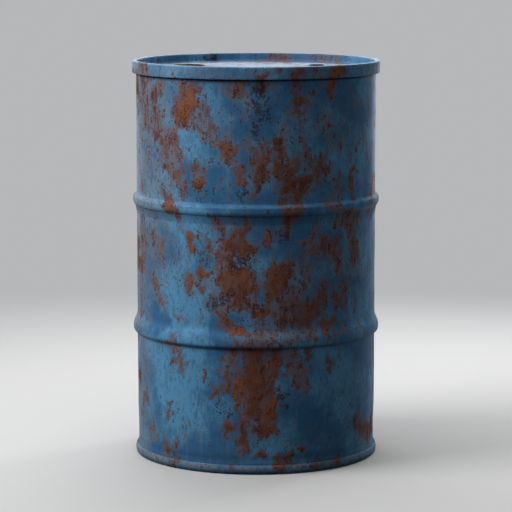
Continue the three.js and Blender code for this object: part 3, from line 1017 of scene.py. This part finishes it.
def enamel(name):
    paint = Recipe(name)
    place = paint.node("TexCoord", output="Object")
    tall = paint.stretched(place, 1, 1, 0.42)
    down = paint.stretched(place, 1, 1, 0.09)
    rust, fresh, stain, bloom, pitted, tone, chalk, grime = (
        paint.node("Attribute", {"attribute_name": field}, output="Fac")
        for field in ("rust", "fresh", "stain", "bloom", "pitted", "tone", "chalk", "grime")
    )
    clouds = paint.noise(place, 9, 3)
    drifts = paint.noise(place, 21, 4, 0.62)
    blotches = paint.noise(tall, 46, 3, 0.55)
    ragged = paint.noise(tall, 100, 4, 0.64)
    grit = paint.noise(place, 230, 4, 0.75)
    streaks = paint.noise(down, 85, 4, 0.6)

    coarse = (blotches - 0.5) * 1.7 + (ragged - 0.5) * 1.5
    fine = (grit - 0.5) * 1.2
    level = rust * 0.94 + stain * 0.36 + bloom * 0.36 - 0.1
    eaten = paint.between(level + coarse + fine * 0.35, 0.44, 1.24)
    haze = paint.between(level + coarse * 1.1 + fine * 0.8, 0.0, 0.78)
    lifting = bloom * 1.0 + stain * 0.42 + (drifts - 0.5) * 1.1 - 0.06
    rosy = paint.between(lifting + coarse * 0.9 + fine * 2.0, 0.14, 0.82)
    gathered = (drifts - 0.5) * 1.2 - 0.15 + bloom * 0.65 + stain * 0.45
    gathered = gathered + pitted * 0.7 + chalk * 0.2
    specks = grit + (ragged - 0.5) * 0.7
    flecks = paint.between(specks + gathered * 0.2, 0.56, 0.67)
    pits = paint.between(specks + gathered * 0.12 + pitted * 0.06, 0.635, 0.70)
    islands = paint.between(specks, 0.47, 0.33)

    faded = paint.between(clouds + tone * 0.17 + (drifts - 0.5) * 0.5, 0.36, 0.66)
    blue = paint.blend(faded, DEEP_BLUE, SKY_BLUE)
    blue = paint.blend(paint.between(blotches, 0.5, 0.7) * 0.45, blue, TEAL_BLUE)
    blue = paint.blend(paint.between(ragged, 0.52, 0.32) * 0.6, blue, SLATE_BLUE)
    blue = paint.blend(paint.between(streaks, 0.54, 0.74) * 0.22, blue, PALE_GREY)
    # Chalk lightens the paint; on the chimes the same mask also lays painted highlight.
    blue = paint.blend(chalk * paint.between(ragged, 0.30, 0.62) * 0.7, blue, PALE_GREY)
    dulled = paint.blend(paint.between(lifting, 0.1, 0.7) * 0.6, blue, DULL_TEAL)
    dulled = paint.blend(rosy * 0.8, dulled, ROSE)
    dulled = paint.blend(haze * 0.7, dulled, BROWN_FILM)
    dulled = paint.blend(flecks * 0.5, dulled, MAUVE)
    dulled = paint.blend(pits * 0.6, dulled, PIT_BLACK)

    grain = ragged * 0.45 + grit * 0.35 + blotches * 0.2
    old = paint.node("ValToRGB", {"stops": OLD_STOPS}, {"Fac": grain + (drifts - 0.5) * 0.3})
    new = paint.node("ValToRGB", {"stops": FRESH_STOPS}, {"Fac": grain + (rust - 0.6) * 0.08})
    newer = paint.between(fresh * 0.5 + (drifts - 0.5) * 2.2 + fine * 0.6, 0.0, 0.55)
    brown = paint.blend(newer, old, new)
    brown = paint.blend(flecks * 0.45, brown, MAROON)
    brown = paint.blend(pits * 0.55, brown, PIT_BLACK)
    brown = paint.blend(islands * 0.5, brown, dulled)
    colour = paint.blend(eaten * (0.5 + paint.between(rust, 0.25, 0.85) * 0.5), dulled, brown)
    # Painted shade darkens the paint under the top band, under the hoops, above the foot and down
    # the bottom bead; on the top's chuck wall the same mask is a real smudge.
    colour = paint.blend(grime * paint.between(ragged + drifts, 0.72, 1.04), colour, DIRT_AND_SHADE_DARK)

    gloss = 0.46 + (ragged - 0.5) * 0.3 + rosy * 0.18 + chalk * 0.1
    roughness = gloss + (0.92 - gloss) * eaten
    relief = eaten * (0.25 + grain * 0.9) - pits * 0.4 + (1 - eaten) * blotches * 0.12
    return paint.finish(
        {
            "Base Color": colour,
            "Roughness": roughness,
            "Specular IOR Level": 0.06,
            "Normal": paint.bump(relief, 0.6, 0.0016),
        }
    )


drum_enamel = enamel("weathered_enamel")
for piece in (shell, drum_top, drum_bottom):
    piece.data.materials.clear()
    piece.data.materials.append(drum_enamel)

# %% [markdown]
# ## Bare flanges, rubber and compound
# The flanges were zinc plated. They are brown now with a little grey metal left. Their bores are
# painted black as painted shade of the open holes, and the lip nearly as dark. The gaskets under
# them are old rubber, and the chimes are packed with a dark compound. All three are hidden or
# nearly so, but they are real surfaces and get their own grain.

# %% The small finishes
ZINC, HOLE_SHADE_BLACK = card(126, 124, 120), card(14, 13, 13)
HOLE_SHADE_REACH = 1.9  # how far past the thread's root the painted shade reaches


def flange_steel(name):
    steel = Recipe(name)
    place = steel.node("TexCoord", output="Object")
    grain = steel.noise(place, 260, 5, 0.62)
    patches = steel.noise(place, 70, 4, 0.6)
    brown = steel.node("ValToRGB", {"stops": OLD_STOPS}, {"Fac": grain})
    bare = steel.between(patches, 0.54, 0.66)
    colour = steel.blend(bare, brown, ZINC)
    oily = steel.node("Attribute", {"attribute_name": "oily"}, output="Fac")
    # Painted shade: the bore is nearly black, as the inside of the open hole, and the lip almost as
    # dark.
    colour = steel.blend(oily * 0.95, colour, HOLE_SHADE_BLACK)
    return steel.finish(
        {
            "Base Color": colour,
            "Metallic": bare * (1 - oily) * 0.8,
            "Roughness": 0.86 - bare * 0.4 + oily * 0.1,
            "Normal": steel.bump(grain, 0.5, 0.0006),
        }
    )


def dull_black(name, dark, light, scale):
    rubber = Recipe(name)
    place = rubber.node("TexCoord", output="Object")
    bloom = rubber.noise(place, scale, 4, 0.6)
    return rubber.finish(
        {
            "Base Color": rubber.blend(rubber.between(bloom, 0.4, 0.68), dark, light),
            "Roughness": 0.72 + (bloom - 0.5) * 0.4,
            "Normal": rubber.bump(bloom, 0.4, 0.0004),
        }
    )


flange_finish = flange_steel("rusted_flange_steel")
for piece, bung in ((large_flange, LARGE_BUNG), (small_flange, SMALL_BUNG)):
    at_x, at_y = bung["at"]
    turn, reach, height = places(piece.data)
    off_centre = np.hypot(reach * np.sin(turn) - at_x, -reach * np.cos(turn) - at_y)
    # The bore takes the full painted shade, the flange above the panel most of it.
    in_bore = off_centre < bung["crest"] + bung["depth"] + HOLE_SHADE_REACH
    note(piece.data, oily=np.where(in_bore, 1.0, 0.9 * (height > LIP_LOW)))
    piece.data.materials.append(flange_finish)
gasket_finish = dull_black("gasket_rubber_bloom", card(24, 23, 22), card(58, 55, 52), 240)
compound_finish = dull_black("seam_compound_crust", card(40, 34, 29), card(78, 66, 54), 180)
for name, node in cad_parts.items():
    for slot in node.material_slots:
        if "gasket" in name:
            slot.material = gasket_finish
        elif "compound" in name:
            slot.material = compound_finish

# %% [markdown]
# ## Floor and light
# A pale floor and a soft key light high on the left, where the picture has its own, with a soft
# light overhead and a weak fill in front. Tall soft lights behind give the bright edges, with a
# narrow gleam on the right, and one more behind glances off the top. The floor is matt and takes
# the drum's shadow. Further out it turns into a plain pale backdrop, which lights nothing: only
# the camera and what mirrors or lets light through see it.

# %% The floor
FLOOR_COLOUR, FLOOR_BOUNCE = card(186, 186, 186), card(52, 52, 52)
BACKDROP_COLOUR = card(182, 183, 185)
BACKDROP_FROM, BACKDROP_FULL = 0.9, 2.6
SEEN_RAYS = ("Is Camera Ray", "Is Glossy Ray", "Is Transmission Ray")
FLOOR_HALF = 60


def pale_floor(name):
    floor = Recipe(name)
    place = floor.node("TexCoord", output="Object")
    far = floor.node("VectorMath", {"operation": "LENGTH"}, {0: place}, output="Value")
    seen = sum(floor.node("LightPath", output=ray) for ray in SEEN_RAYS)
    shown = floor.blend(seen, FLOOR_BOUNCE, FLOOR_COLOUR)
    matt = floor.node("BsdfDiffuse", None, {"Color": shown})
    glow = floor.node("Emission", None, {"Color": BACKDROP_COLOUR, "Strength": 1.0})
    backdrop = floor.between(far, BACKDROP_FROM, BACKDROP_FULL) * seen
    mixed = floor.node("MixShader", None, {0: backdrop, 1: matt, 2: glow})
    floor.node("OutputMaterial", None, {"Surface": mixed})
    return floor.material


floor_mesh = bpy.data.meshes.new("floor")
ends = (-FLOOR_HALF, FLOOR_HALF)
floor_mesh.from_pydata([(x, y, 0) for x in ends for y in ends], [], [(0, 2, 3, 1)])
floor = bpy.data.objects.new("floor", floor_mesh)
floor_mesh.materials.append(pale_floor("pale_floor"))
bpy.context.scene.collection.objects.link(floor)
print(f"floor {2 * FLOOR_HALF} m across")

# %% World and lamps
WORLD_LEVEL = 0.15
world = bpy.data.worlds.new("studio")
bpy.context.scene.world = world
world.use_nodes = True
sky = world.node_tree.nodes["Background"]
sky.inputs["Color"].default_value = (1, 1, 1, 1)
sky.inputs["Strength"].default_value = WORLD_LEVEL


def soft_light(name, at, towards, width, tall, watts):
    """A rectangular soft light that faces a point."""
    lamp = bpy.data.lights.new(name, "AREA")
    lamp.shape, lamp.size, lamp.size_y, lamp.energy = "RECTANGLE", width, tall, watts
    thing = bpy.data.objects.new(name, lamp)
    thing.visible_camera = False
    thing.location = at
    aim = np.subtract(towards, at)
    flat = math.hypot(aim[0], aim[1])
    thing.rotation_euler = (math.pi / 2 + math.atan2(aim[2], flat), 0, math.atan2(-aim[0], aim[1]))
    bpy.context.scene.collection.objects.link(thing)
    return thing


DRUM_MIDDLE = (0, 0, 0.46)
soft_light("key", (-2.8, -0.95, 2.5), DRUM_MIDDLE, 2.0, 2.0, 120)
soft_light("overhead", (-0.2, 0.1, 3.2), DRUM_MIDDLE, 2.4, 1.6, 46)
soft_light("front_fill", (0.9, -2.6, 1.9), (0, 0, 0.7), 2.0, 1.2, 8)
soft_light("left_edge", (-1.4, 2.7, 0.8), DRUM_MIDDLE, 0.6, 1.5, 12)
right_edge = soft_light("right_edge", (2.0, 2.2, 1.1), DRUM_MIDDLE, 0.8, 1.6, 52)
right_edge.visible_glossy = False
soft_light("right_gleam", (1.3, 2.75, 0.95), DRUM_MIDDLE, 0.4, 1.5, 9)
soft_light("over_the_top", (0, 3.4, 1.9), (0, 0, 0.9), 3.0, 0.7, 64)
bpy.context.scene.view_settings.view_transform = "Standard"
